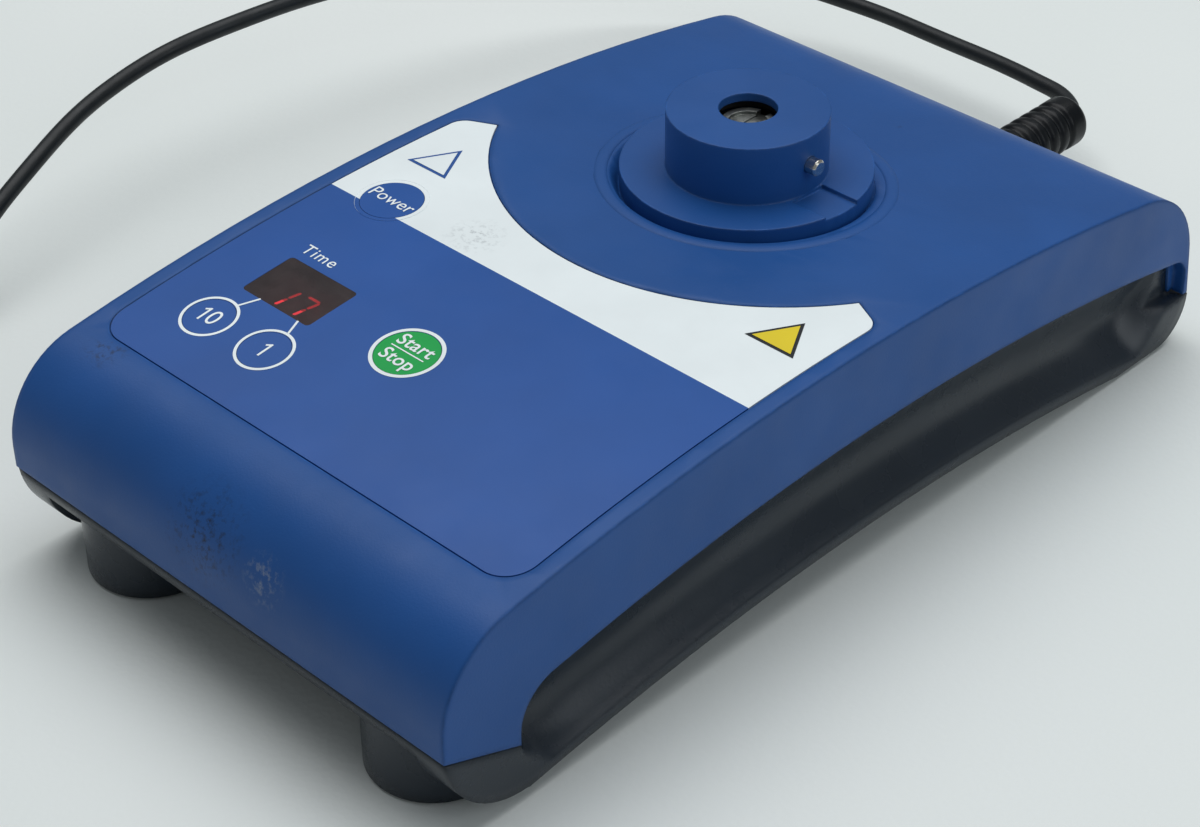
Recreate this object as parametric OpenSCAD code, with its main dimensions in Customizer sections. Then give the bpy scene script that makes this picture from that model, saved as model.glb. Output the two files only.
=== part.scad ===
// Bench-top drive for stirring tubes: an arched two-part housing with a printed
// control foil at the front and a locking collar over a motor spindle at the rear.
// The design frame has X to the right, Y from the front edge to the rear and Z up
// from the bench. Every node is then moved so that the origin lies on the spindle
// axis, in the plane of the collar's top face, where a tube holder locks on.

/* [Housing] */
// Width of the housing
body_w = 100; // [98:1:104]
// Depth of the housing from the front edge to the rear face
body_d = 182; // [181:1:184]
// Height of the top arch's crown above the bench
arch_top = 42.7; // [42:0.1:44]
// Wall thickness of the cover and the tray
wall = 2.5; // [2.2:0.1:2.6]
// Gap at the parting line between the cover and the tray
parting_gap = 0.3; // [0.2:0.05:0.4]

/* [Collar] */
// Distance from the front edge to the spindle axis
spindle_y = 118; // [117:0.5:119]
// Height of the collar's top face above the bench
collar_top_z = 53.7; // [53.5:0.1:54.5]
// Outside radius of the collar
collar_r = 13.85; // [13.7:0.05:14]
// Radius of the collar's centre hole
collar_bore_r = 5; // [4.9:0.05:5.1]
// Radius of the flange round the foot of the collar
flange_r = 21.6; // [21.5:0.1:22]
// Height of the collar above its flange
collar_h = 10.6; // [10.5:0.1:11]

/* [Controls] */
// Thickness of the printed foil, and depth of the pocket that holds it
foil_t = 0.5; // [0.4:0.05:0.6]
// Radius of the two small round keys
small_key_r = 4.3; // [4.1:0.1:4.4]
// Radius of the power key
power_key_r = 5.4; // [5.2:0.1:5.5]
// Radius of the start and stop key
start_key_r = 5.3; // [5.1:0.1:5.4]
// Travel of a key
key_travel = 0.4; // [0.3:0.05:0.45]

/* [Power lead] */
// Height of the lead's plug above the bench
lead_z = 12.4; // [12.2:0.1:12.8]
// Radius of the cable
cable_r = 1.65; // [1.5:0.05:1.8]
// Radius of the ribbed strain relief
boot_r = 4.9; // [4.8:0.05:5]

/* [Feet] */
// Radius of a foot
foot_r = 11; // [10.6:0.1:11.1]
// Distance of a foot's centre from the middle of the housing
foot_x = 33.5; // [33:0.5:34]
// Distance of a front foot's centre from the front edge
foot_y = 13; // [13:0.5:13.5]

/* [Hidden] */

$fn = 96;
arch_fn = 256;    // sides of the big housing arcs
far = 400;        // longer than anything that is cut
eps = 0.02;       // assembly clearance between parts that touch
weld = 0.004;     // makes two tangent outlines cross a little, so that they join cleanly

// Top arch and the two roundings that end it
arch_r = 445;
arch_y = 84.5;    // distance of the crown from the front edge
arch_c = [arch_y, arch_top - arch_r];
nose_r = 16;
tail_r = 19;
tail_lean = 7;    // degrees that the rear face leans forward
tail_foot = [body_d, 8];   // where the leaning rear face meets the upright one

// Side opening of the cover, above the tray's scooped flank
opening_r = 440;
opening_c = [90, 26.5 - opening_r];
opening_front = 14.8;
opening_rear = 180.5;
opening_front_r = 8;
opening_rear_r = 4.5;

// Parting line at the front, the side and the rear
part_front_z = 17.2;   // at the cover's front edge, sloping down to the opening
part_side_z = 11.2;
part_rear_z = 9.5;

// Lower edge of the tray
sill_r = 490;
sill_c = [85, 7 - sill_r];
chin_r = 15.8;
heel_r = 8;
skid_z = 0.9;     // lowest line of the tray's sides at the rear
skirt_t = 2.2;    // thickness of the tray's hanging side skirts
belly_lift = 1;   // height of the tray's floor above the skirts' lower edge
bay_depth = 27;   // the raised bay that holds the front feet
bay_z = 14;       // height of the bay's roof
bay_half_w = 43.2;

// Scooped flank: heights and half widths at the crown of the arch
flank_r = 463;
flank_c = [87, -flank_r];
flank = [[9.2, 51], [9.2, 49.9], [10.2, 48.5], [12.6, 45.9], [15.6, 44.7], [19, 45],
    [23.5, 46.6], [27, 47.6], [33, 47.6], [33, 51]];
flank_inner_x = 42.3;  // inner face of the tray's side walls
flank_sweep = 13; // degrees that the groove reaches to each side of its middle
// The groove fades out at both ends in a round that narrows as it goes inwards: centre in
// Y and Z, radius at the surface, and loss of radius per depth
scoop_front = [23.2, 13];
scoop_front_r = 8.8;
scoop_front_slope = 0.7;
scoop_rear = [158, 20];
scoop_rear_r = 20;
scoop_rear_slope = 1;
// Where the groove's lower lip rises above the level of the rear parting line
lip_crown = [40, 135];
upstand_z = 29;   // top of the tray's rim inside the cover
tray_inner_w = body_w - 2 * (wall + parting_gap);   // width of that rim

// Collar: its flange sits in a round recess, its neck reaches through the cover
flange_top_z = collar_top_z - collar_h;
flange_low_z = 39.2;
dish_r = 40;
dish_depth = 0.7;
seat_r = 21.8;
neck_r = 17.5;
neck_low_z = 36.2;

// Foil: rounded at the front, cut by an arc about the dish at the rear
foil_half_w = 47;
foil_front = 16.3;
foil_corner_r = 5.5;
foil_arc_y = 123.6;
foil_arc_r = 47.5;
foil_end_r = 3.7;
foil_end = [foil_half_w - foil_end_r, 93.4];
foil_tip = [40.6, 98.9];
foil_gap = 0.25;

// Keys: x, y and radius of the cap
keys = [[-35.3, 69.2, power_key_r], [-34, 29, small_key_r], [-20.5, 29, small_key_r],
    [-2.2, 42.3, start_key_r]];
key_gap = 0.08;   // round a key's cap
key_stem_r = 1.5;
switch_h = 3.6;   // height of a switch above the board

window_size = [16, 10.7];
window_at = [-27.5, 42.3];
window_t = 2.2;
window_corner_r = 0.8;

// Circuit board that hangs from five posts of the cover
board_z = 29;     // underside of the board
board_t = 1.6;
board_size = [84, 50];
board_front = 23;
board_posts = [[-38.6, 47], [0, 27], [38.5, 27], [38.5, 69], [-20, 69]];
screw_r = 1.5;
// Headers and the wires that leave them
header_x = 8;
header_y = board_front + board_size[1] - 3;
wire_z = board_z - 3;
wire_r = 0.7;
motor_wire_z = 11.45;   // between the tray's floor and the motor

// Motor that hangs from three posts of the cover by its bracket
motor_r = 15.5;
motor_low_z = 12.5;
motor_high_z = 29.5;
shaft_r = 2.5;
run_gap = 0.05;   // radial clearance of a running or sliding fit
motor_screw_x = 9;
bracket_t = 2;
bracket_arm = 23.5;  // distance of a bracket screw from the spindle axis
bracket_angles = [30, 150, 270];
bush_h = 1.5;
rotor_low_z = motor_low_z + 6;
rotor_high_z = motor_high_z - 2.5;

head_r = 4.6;
head_drop = 2.5;  // depth of the drive head's top below the collar's top face
lip_t = 1.5;      // thickness of the collar's top round its centre hole
cavity_r = 10.6;  // inside of the collar, where the drive head turns
cavity_low_z = neck_low_z + 6.5;
neck_bore_r = 6;   // hole between the bearing and the cavity
seal_bore_r = 6.4; // hole in the seal, clear of the drive head
bearing_r = 8;
bearing_h = 5;
locking_pin_r = 1.45;
locking_pin_z = collar_top_z - 5.3;
collar_screw_angles = [90, 210, 330];
collar_screw_at = 20;   // distance of a collar screw from the spindle axis

// Plug of the lead and the socket it slides into
barrel_r = 2.75;
barrel_l = 9.5;
socket_face = 179;  // rear face of the socket
socket_half_w = 4.6;
socket_half_h = 5.2;
boot_end = 212.5;   // rear end of the strain relief's cylindrical part
cradle_low_z = 3;
cradle_l = 8;

housing_posts = [for (sx = [-1, 1], y = [58, 148]) [sx * 38, y]];
feet = [for (sx = [-1, 1], y = [foot_y, body_d - 16]) [sx * foot_x, y]];
foot_low_z = 0.6;
pad_r = foot_r - 0.8;
pad_h = 1.2;
boss_r = 5;       // of the boss round a housing screw
screw_well_r = 3.1;
rim_y = 4.5;      // inner face of the tray's front and rear rims

// Centre of a rounding of radius r that touches the arc (centre c, radius big) from
// inside and has its centre at y
function round_in(c, big, r, y) = [y, c[1] + sqrt(pow(big - r, 2) - pow(y - c[0], 2))];
// The same, touching the arc from outside
function round_out(c, big, r, y) = [y, c[1] + sqrt(pow(big + r, 2) - pow(y - c[0], 2))];
// Height of the top arch at y, and its slope as a tilt about X
function arch_z(y) = arch_c[1] + sqrt(arch_r * arch_r - pow(y - arch_y, 2));
function arch_tilt(y) = asin((arch_y - y) / arch_r);
// Height of the tray's lower edge at y
function sill_z(y) = sill_c[1] + sqrt(sill_r * sill_r - pow(y - sill_c[0], 2));
// A point in plan at an angle and a distance from the spindle axis
function spindle_at(a, d) = [d * cos(a), spindle_y + d * sin(a)];
// Top of the tray's boss at a housing screw, and of the well that takes the screw's head
function post_low_z(at) = sill_z(at[1]) + belly_lift + wall + 3;
function screw_well_top(at) = post_low_z(at) - 2.5;
// Top of a foot, inside the floor above it
function foot_top_z(at) = 0.5 + (at[1] < bay_depth ? bay_z : sill_z(at[1]) + belly_lift + 1);
// Length from the arch to the tip of a key's stem, just inside its switch's well
function stem_l(k) = arch_z(k[1]) - (board_z + board_t + switch_h) + 0.9;
// Shift in Y of a leaning stem at the level of its switch
function stem_shift(k) = sin(arch_tilt(k[1])) * stem_l(k);

nose_c = round_in(arch_c, arch_r, nose_r, nose_r);
// The tail rounding lies tail_r inside the leaning rear face and touches the arch
tail_up = [-sin(tail_lean), cos(tail_lean)];
tail_in = [-cos(tail_lean), -sin(tail_lean)];
tail_q = tail_foot + tail_r * tail_in - arch_c;
tail_s = -tail_q * tail_up + sqrt(pow(tail_q * tail_up, 2) - tail_q * tail_q + pow(arch_r - tail_r, 2));
tail_c = arch_c + tail_q + tail_s * tail_up;

// Moves a node from the design frame to the spindle's frame
module placed() {
    translate([0, -spindle_y, -collar_top_z]) children();
}

// Runs a profile drawn in Y and Z across the housing, to a total width w
module across(w) {
    rotate([90, 0, 90]) translate([0, 0, -w / 2]) linear_extrude(w) children();
}

// Runs a profile across both side walls only, between two distances from the middle
module at_sides(inner, outer) {
    for (s = [-1, 1]) translate([s * (inner + outer) / 2, 0, 0]) across(outer - inner) children();
}

// A frame on the top arch at x and y, with Z along the arch's outward normal
module on_arch(x, y) {
    translate([x, y, arch_z(y)]) rotate([arch_tilt(y), 0, 0]) children();
}

module tube(r, inner, h) {
    difference() {
        cylinder(r = r, h = h);
        translate([0, 0, -1]) cylinder(r = inner, h = h + 2);
    }
}

// Side outline of the housing above the parting, drawn inset from the surface
module housing_outline(inset) {
    low = -10;
    union() {
        intersection() {
            translate(arch_c) circle(r = arch_r - inset, $fn = arch_fn);
            polygon([[inset, low], [inset, nose_c[1]], nose_c,
                nose_c + (nose_c - arch_c) / 10, tail_c + (tail_c - arch_c) / 10,
                tail_c, tail_c - (tail_r - inset) * tail_in,
                tail_foot + inset * tail_in - 18 * tail_up]);
        }
        translate(nose_c) circle(r = nose_r - inset);
        translate(tail_c) circle(r = tail_r - inset + weld);
    }
}

// Everything below the cover's lower edge, seen from the side
module below_cover() {
    polygon([[-1, -20], [-1, part_front_z + 0.4], [opening_front, part_side_z],
        [opening_front + 1, part_rear_z], [body_d + 5, part_rear_z], [body_d + 5, -20]]);
}

// The arched opening in the cover's side walls
module side_opening() {
    front_c = round_in(opening_c, opening_r, opening_front_r, opening_front + opening_front_r);
    rear_c = round_in(opening_c, opening_r, opening_rear_r, opening_rear - opening_rear_r);
    intersection() {
        translate(opening_c) circle(r = opening_r, $fn = arch_fn);
        polygon([[opening_front, 0], [opening_front, front_c[1]], front_c,
            front_c + [-1, 20], rear_c + [1, 20], rear_c, [opening_rear, rear_c[1]],
            [opening_rear, 0]]);
    }
    translate(front_c) circle(r = opening_front_r);
    translate(rear_c) circle(r = opening_rear_r);
}

// Side outline of the tray from its lower edge up, drawn inset from the surface
module tray_outline(inset, high) {
    chin_c = round_out(sill_c, sill_r, chin_r, chin_r + 0.3);
    heel_c = [body_d - heel_r, skid_z + heel_r];
    difference() {
        intersection() {
            union() {
                polygon([[0.3 + inset, high], [0.3 + inset, chin_c[1]], chin_c,
                    [chin_c[0], skid_z + inset], [heel_c[0], skid_z + inset], heel_c,
                    [body_d - inset, heel_c[1]], [body_d - inset, high]]);
                translate(chin_c) circle(r = chin_r - inset);
                translate(heel_c) circle(r = heel_r - inset);
            }
            square([body_d, high]);
        }
        translate(sill_c) circle(r = sill_r + inset, $fn = arch_fn);
    }
}

// The groove swept along the right flank of the tray
module flank_groove() {
    translate([0, flank_c[0], flank_c[1]])
        rotate([180 - flank_sweep, 0, 0]) rotate([0, 90, 0])
            rotate_extrude(angle = 2 * flank_sweep, $fn = arch_fn)
                polygon([for (p = flank) [flank_r + p[0], p[1]]]);
}

// One sloping end of the groove's region, from just outside the surface inwards
module scoop_end(at, r, slope) {
    depth = 6;
    translate([body_w / 2 + 1, at[0], at[1]]) rotate([0, -90, 0])
        cylinder(r1 = r + slope, r2 = r - slope * depth, h = depth + 1);
}

// What is cut from the right flank: the groove, faded out behind the front edge and
// ahead of the heel
module flank_scoop() {
    intersection() {
        flank_groove();
        union() {
            across(body_w + 2) translate([scoop_front[0], 0])
                square([scoop_rear[0] - scoop_front[0], upstand_z + 5]);
            scoop_end(scoop_front, scoop_front_r, scoop_front_slope);
            scoop_end(scoop_rear, scoop_rear_r, scoop_rear_slope);
        }
    }
}

// A post from z up to the cover's inner surface
module cover_post(at, r, z) {
    intersection() {
        translate([at[0], at[1], z]) cylinder(r = r, h = 40);
        across(body_w) housing_outline(wall / 2);
    }
}

module top_cover() {
    color("royalblue") placed() difference() {
        union() {
            difference() {
                across(body_w) housing_outline(0);
                across(body_w - 2 * wall) housing_outline(wall);
                across(body_w + 2) below_cover();
                at_sides(body_w / 2 - wall, body_w / 2 + 1) side_opening();
            }
            for (at = board_posts) cover_post(at, 3.2, board_z + board_t + eps);
            for (at = housing_posts) cover_post(at, 3.6, post_low_z(at) + eps);
            for (a = bracket_angles)
                cover_post(spindle_at(a, bracket_arm), 3.4, motor_high_z + bracket_t + bush_h + eps);
            cover_post([0, spindle_y], seat_r + wall, flange_low_z - wall);
        }
        foil_pocket();
        cover_dish();
        translate([0, spindle_y, 0]) cylinder(r = neck_r + 0.15, h = far);
        translate([0, spindle_y, flange_low_z - eps]) cylinder(r = seat_r, h = far);
        for (a = collar_screw_angles)
            translate(concat(spindle_at(a, collar_screw_at), 30)) cylinder(r = 1.2, h = 12);
        on_arch(window_at[0], window_at[1]) window_hole(eps, 10);
        for (k = keys) on_arch(k[0], k[1]) {
            translate([0, 0, -foil_t - 0.6]) cylinder(r = k[2] + key_gap, h = 5);
            translate([0, 0, -8]) cylinder(r = key_stem_r + 0.2, h = 10);
        }
        for (at = board_posts) translate([at[0], at[1], board_z]) cylinder(r = screw_r + eps, h = 8);
        for (at = housing_posts) translate([at[0], at[1], 8]) cylinder(r = screw_r + eps, h = 20);
        for (a = bracket_angles)
            translate(concat(spindle_at(a, bracket_arm), 30)) cylinder(r = screw_r + eps, h = 9);
        lead_hole();
    }
}

module lead_hole() {
    translate([0, body_d + 5, lead_z]) rotate([90, 0, 0]) cylinder(r = boot_r + 0.35, h = 12);
}

// Outline of the foil in plan, drawn inset from its pocket
module foil_outline(inset) {
    difference() {
        union() {
            polygon([[-foil_half_w + inset, foil_front + foil_corner_r],
                [-foil_half_w + foil_corner_r, foil_front + inset],
                [foil_half_w - foil_corner_r, foil_front + inset],
                [foil_half_w - inset, foil_front + foil_corner_r],
                [foil_half_w - inset, foil_end[1]],
                foil_end + [1.9, 3.2] * (1 - inset / foil_end_r), foil_tip - [0, inset],
                [-foil_tip[0], foil_tip[1] - inset],
                [-foil_end[0], foil_end[1]] + [-1.9, 3.2] * (1 - inset / foil_end_r),
                [-foil_half_w + inset, foil_end[1]]]);
            for (s = [-1, 1]) {
                translate([s * (foil_half_w - foil_corner_r), foil_front + foil_corner_r])
                    circle(r = foil_corner_r - inset);
                translate([s * foil_end[0], foil_end[1]]) circle(r = foil_end_r - inset);
            }
        }
        translate([0, foil_arc_y]) circle(r = foil_arc_r + inset, $fn = arch_fn);
    }
}

// The layer between two depths below the top arch, as a profile
module arch_layer(shallow, deep) {
    difference() {
        translate(arch_c) circle(r = arch_r - shallow, $fn = arch_fn);
        translate(arch_c) circle(r = arch_r - deep, $fn = arch_fn);
    }
}

module foil_pocket() {
    intersection() {
        translate([0, 0, 20]) linear_extrude(40) foil_outline(0);
        across(body_w) arch_layer(-2, foil_t);
    }
}

// The shallow round dish that follows the arch about the collar
module cover_dish() {
    intersection() {
        translate([0, spindle_y, 20]) cylinder(r = dish_r, h = 40);
        across(body_w) arch_layer(-2, dish_depth);
    }
}

module control_foil() {
    color("aliceblue") placed() difference() {
        intersection() {
            translate([0, 0, 20]) linear_extrude(40) foil_outline(foil_gap);
            across(body_w) arch_layer(0, foil_t - eps);
        }
        for (k = keys) on_arch(k[0], k[1])
            translate([0, 0, -2]) cylinder(r = k[2] + key_gap, h = 4);
        on_arch(window_at[0], window_at[1]) window_hole(eps, 3);
        translate([0, spindle_y, 20]) cylinder(r = dish_r + foil_gap, h = 40);
    }
}

// The window's outline, grown by g and cut to depth d
module window_hole(g, d) {
    translate([0, 0, -d]) linear_extrude(d + 3)
        rounded_rect(window_size + [2 * g, 2 * g], window_corner_r);
}

module rounded_rect(size, r) {
    square([size[0], size[1] - 2 * r], center = true);
    square([size[0] - 2 * r, size[1]], center = true);
    for (sx = [-1, 1], sy = [-1, 1])
        translate([sx * (size[0] / 2 - r), sy * (size[1] / 2 - r)]) circle(r = r, $fn = 32);
}

module display_window() {
    color("darkred") placed() on_arch(window_at[0], window_at[1])
        translate([0, 0, -window_t - 0.05]) linear_extrude(window_t)
            rounded_rect(window_size, window_corner_r);
}

// A two-digit display that stands on the board behind the window
module display_module() {
    size = [15.2, 10, 6.9];
    color("black") placed() translate([window_at[0] - size[0] / 2, window_at[1] - size[1] / 2,
        board_z + board_t + eps]) cube(size);
}

// One key: a cap that fills its hole in the foil and a stem down to its switch
module key_cap(k) {
    on_arch(k[0], k[1]) {
        translate([0, 0, -foil_t - 0.1]) cylinder(r = k[2], h = foil_t + 0.1);
        translate([0, 0, -stem_l(k)]) cylinder(r = key_stem_r, h = stem_l(k) - foil_t);
    }
}

module power_key() {
    color("steelblue") placed() key_cap(keys[0]);
}

module tens_key() {
    color("steelblue") placed() key_cap(keys[1]);
}

module units_key() {
    color("steelblue") placed() key_cap(keys[2]);
}

module start_stop_key() {
    color("forestgreen") placed() key_cap(keys[3]);
}

// Four push switches on the board, each with a well that takes its key's stem
module key_switches() {
    size = 6.2;
    color("dimgray") placed() for (k = keys) difference() {
        translate([k[0] - size / 2, k[1] + stem_shift(k) - size / 2, board_z + board_t + eps])
            cube([size, size, switch_h]);
        on_arch(k[0], k[1]) translate([0, 0, -stem_l(k) - key_travel - 0.4])
            cylinder(r = key_stem_r + 0.2, h = 12);
    }
}

module control_board() {
    color("darkgreen") placed() difference() {
        translate([-board_size[0] / 2, board_front, board_z])
            cube([board_size[0], board_size[1], board_t]);
        for (at = board_posts)
            translate([at[0], at[1], board_z - 1]) cylinder(r = screw_r + 0.2, h = 4);
        for (at = housing_posts) translate([at[0], at[1], board_z - 1]) cylinder(r = 4.3, h = 4);
    }
}

// A pan-head screw that points up, with the underside of its head at z = 0
module pan_screw(shank, head_r, head_h) {
    translate([0, 0, -head_h]) difference() {
        cylinder(r = head_r, h = head_h);
        for (a = [0, 90]) rotate(a) translate([-head_r * 0.6, -0.4, -1]) cube([head_r * 1.2, 0.8, 1.9]);
    }
    translate([0, 0, -0.01]) cylinder(r = screw_r, h = shank + 0.01);
}

module board_screws() {
    color("silver") placed() for (at = board_posts)
        translate([at[0], at[1], board_z - eps]) pan_screw(6, 2.8, 1.8);
}

module processor_chip() {
    color("black") placed() translate([0, 48, board_z - eps]) {
        translate([-5, -5, -1.4]) cube([10, 10, 1.4]);
        for (s = [-1, 1], i = [-4:4]) translate([s * 5.5 - 0.6, i - 0.2, -1]) cube([1.2, 0.4, 0.8]);
    }
}

module board_capacitors() {
    color("slategray") placed() for (x = [16, 26])
        translate([x, 60, board_z - 9 - eps]) cylinder(r = 4, h = 9);
}

module motor_driver() {
    color("black") placed() translate([-20, 56, board_z - 4.6 - eps]) cube([10, 9, 4.6]);
}

// Two wire-to-board headers on the board's rear edge
module board_connectors() {
    color("ivory") placed() for (x = [-header_x, header_x])
        translate([x - 4, board_front + board_size[1] - 7, board_z - 6 - eps]) difference() {
            cube([8, 6, 6]);
            translate([1, 3, 1]) cube([6, 4, 4]);
        }
}

module tube_collar() {
    color("royalblue") placed() translate([0, spindle_y, 0]) difference() {
        union() {
            translate([0, 0, neck_low_z]) cylinder(r = neck_r, h = flange_top_z - neck_low_z);
            translate([0, 0, flange_low_z]) cylinder(r = flange_r, h = flange_top_z - flange_low_z);
            translate([0, 0, neck_low_z]) cylinder(r = collar_r, h = collar_top_z - neck_low_z);
        }
        translate([0, 0, neck_low_z - 1]) cylinder(r = neck_bore_r, h = cavity_low_z - neck_low_z + 2);
        translate([0, 0, cavity_low_z]) cylinder(r = cavity_r, h = collar_top_z - lip_t - cavity_low_z);
        translate([0, 0, cavity_low_z]) cylinder(r = collar_bore_r, h = far);
        translate([0, 0, neck_low_z - 1]) cylinder(r = bearing_r + eps, h = bearing_h + 1.5);
        translate([0, 0, locking_pin_z]) rotate([0, 90, 0]) cylinder(r = locking_pin_r + eps, h = 20);
        for (a = collar_screw_angles) rotate(a)
            translate([collar_screw_at, 0, flange_low_z - 1]) cylinder(r = 1 + eps, h = 3.6);
        lock_ramp();
    }
}

// The sloping notch in the flange's top that a tube holder's lug turns into
module lock_ramp() {
    front = -4.3;
    rear = 3.4;
    translate([collar_r, 0, flange_top_z]) rotate([90, 0, 90]) linear_extrude(20)
        polygon([[front, 1], [front, -0.5], [rear, -0.7], [rear, 1]]);
}

// Screws that hold the collar's flange from inside the cover
module collar_screws() {
    color("silver") placed() for (a = collar_screw_angles)
        translate(concat(spindle_at(a, collar_screw_at), flange_low_z - wall - eps)) {
            translate([0, 0, -1.4]) cylinder(r = 1.9, h = 1.4);
            translate([0, 0, -0.01]) cylinder(r = 1, h = 4.6);
        }
}

module locking_pin() {
    color("gainsboro") placed() translate([cavity_r + 0.1, spindle_y, locking_pin_z]) rotate([0, 90, 0])
        rotate_extrude() polygon([[0, 0], [locking_pin_r, 0], [locking_pin_r, 4.9],
            [locking_pin_r - 0.3, 5.25], [0, 5.25]]);
}

module spindle_seal() {
    color("black") placed() translate([0, spindle_y, collar_top_z - lip_t - 1.8])
        tube(cavity_r - eps, seal_bore_r, 1.8 - eps);
}

module bearing_outer_ring() {
    color("silver") placed() translate([0, spindle_y, neck_low_z]) {
        tube(bearing_r, 6.3, bearing_h);
        translate([0, 0, 0.3]) tube(6.4, 4.4, 0.3);
        translate([0, 0, bearing_h - 0.6]) tube(6.4, 4.4, 0.3);
    }
}

module bearing_inner_ring() {
    color("silver") placed() translate([0, spindle_y, neck_low_z]) tube(4.1, shaft_r + eps, bearing_h);
}

// The head that drives the tube's stirrer: a hub and a stepped disc with two slots
module drive_head() {
    hub_r = 7.5;
    top = collar_top_z - head_drop;
    color("darkgray") placed() translate([0, spindle_y, 0]) difference() {
        union() {
            translate([0, 0, top - 8]) cylinder(r = hub_r, h = 6.2);
            translate([0, 0, top - 2]) cylinder(r = head_r, h = 2);
        }
        translate([0, 0, top - 9]) cylinder(r = shaft_r + eps, h = 7.6);
        translate([0, 0, top - 0.6]) cylinder(r = 3.4, h = 1);
        translate([-1, -head_r - 1, top - 0.9]) cube([2, 2 * head_r + 2, 2]);
        translate([0, 0, top - 5]) rotate([0, 90, 0]) cylinder(r = 1.5 + eps, h = 9);
    }
}

module drive_head_grub_screw() {
    color("dimgray") placed() translate([shaft_r + 0.1, spindle_y, collar_top_z - head_drop - 5])
        rotate([0, 90, 0]) difference() {
            cylinder(r = 1.5, h = 4.6);
            translate([0, 0, 3]) cylinder(r = 0.75, h = 3, $fn = 6);
        }
}

module spindle_shaft() {
    color("silver") placed() translate([0, spindle_y, motor_low_z + 0.6])
        cylinder(r = shaft_r, h = collar_top_z - head_drop - 1.6 - motor_low_z - 0.6);
}

// Laminated rotor with five slots for its windings
module rotor_core() {
    slots = 5;
    color("peru") placed() translate([0, spindle_y, rotor_low_z]) difference() {
        cylinder(r = 10.6, h = rotor_high_z - rotor_low_z);
        translate([0, 0, -1]) cylinder(r = shaft_r + eps, h = far);
        for (i = [1:slots]) rotate(i * 360 / slots) {
            translate([8, -0.8, -1]) cube([5, 1.6, far]);
            translate([6.6, 0, -1]) cylinder(r = 1.9, h = far);
        }
    }
}

module commutator() {
    color("darkorange") placed() translate([0, spindle_y, motor_low_z + 2.2])
        tube(4.2, shaft_r + eps, 3.4);
}

module motor_can() {
    color("lightgray") placed() translate([0, spindle_y, motor_low_z]) difference() {
        cylinder(r = motor_r, h = motor_high_z - motor_low_z);
        translate([0, 0, -1]) cylinder(r = motor_r - 1, h = motor_high_z - motor_low_z);
        translate([0, 0, 1]) cylinder(r = shaft_r + run_gap, h = far);
        for (s = [-1, 1]) translate([s * motor_screw_x, 0, 15]) cylinder(r = screw_r + eps, h = 10);
    }
}

// Two curved magnets inside the can
module motor_magnets() {
    color("dimgray") placed() translate([0, spindle_y, rotor_low_z - 1]) difference() {
        tube(motor_r - 1 - eps, 11.1, rotor_high_z - rotor_low_z + 1);
        for (s = [-1, 1]) translate([-far / 2, s * 20 - 12, -1]) cube([far, 24, 40]);
    }
}

// Plastic end of the motor, with the lower shaft bearing and two terminals
module motor_end_bell() {
    color("white") placed() translate([0, spindle_y, motor_low_z]) {
        difference() {
            cylinder(r = motor_r - 1 - eps, h = 1.8);
            translate([0, 0, 0.5]) cylinder(r = shaft_r + run_gap, h = 3);
        }
        for (s = [-1, 1]) translate([s * 8 - 1, 5, -1.2]) cube([2, 0.5, 1.21]);
    }
}

// Plate with three arms that hangs the motor from the cover
module motor_bracket() {
    color("gainsboro") placed() translate([0, spindle_y, motor_high_z + eps]) difference() {
        union() {
            cylinder(r = motor_r, h = bracket_t);
            for (a = bracket_angles) rotate(a) {
                translate([0, -4, 0]) cube([bracket_arm, 8, bracket_t]);
                translate([bracket_arm, 0, 0]) cylinder(r = 4, h = bracket_t);
            }
        }
        translate([0, 0, -1]) cylinder(r = shaft_r + 2, h = 9);
        for (s = [-1, 1])
            translate([s * motor_screw_x, 0, -1]) cylinder(r = screw_r + 0.1, h = 9);
        for (a = bracket_angles) rotate(a)
            translate([bracket_arm, 0, -1]) cylinder(r = screw_r + 0.1, h = 9);
    }
}

module motor_screws() {
    color("dimgray") placed() for (s = [-1, 1])
        translate([s * motor_screw_x, spindle_y, motor_high_z + bracket_t + 2 * eps])
            mirror([0, 0, 1]) pan_screw(4, 2.6, 1.4);
}

// Rubber bushes between the bracket's arms and the cover's posts
module bracket_bushes() {
    color("black") placed() for (a = bracket_angles)
        translate(concat(spindle_at(a, bracket_arm), motor_high_z + bracket_t + eps))
            tube(3.8, screw_r + 0.1, bush_h);
}

module bracket_screws() {
    color("dimgray") placed() for (a = bracket_angles)
        translate(concat(spindle_at(a, bracket_arm), motor_high_z)) pan_screw(8, 2.8, 1.8);
}

// A round wire through points, as rods with slightly fatter ball joints
module wire(points, r) {
    for (i = [1:len(points) - 1]) {
        d = points[i] - points[i - 1];
        translate(points[i - 1]) rotate([0, acos(d[2] / norm(d)), atan2(d[1], d[0])])
            cylinder(r = r, h = norm(d), $fn = 24);
    }
    for (i = [1:1:len(points) - 2]) translate(points[i]) sphere(r = r + 0.1, $fn = 24);
}

// Wires from a header on the board to the motor's terminals
module motor_wires() {
    color("firebrick") placed() for (s = [-1, 1])
        wire([[-header_x + 1.6 * s, header_y, wire_z], [-header_x + 1.6 * s, 92, wire_z],
            [8.2 * s, 101, motor_wire_z], [8 * s, spindle_y + 4.2, motor_wire_z]], wire_r);
}

// Wires from the other header to the socket
module supply_wires() {
    color("darkred") placed() for (s = [-1, 1])
        wire([[header_x + 1.2 * s, header_y, wire_z], [22 + 1.2 * s, 100, 18],
            [22 + 1.2 * s, 138, 16], [1.2 * s, socket_face - 15, lead_z + 2]], wire_r);
}

module along_lead(y) {
    translate([0, y, lead_z]) rotate([-90, 0, 0]) children();
}

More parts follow.
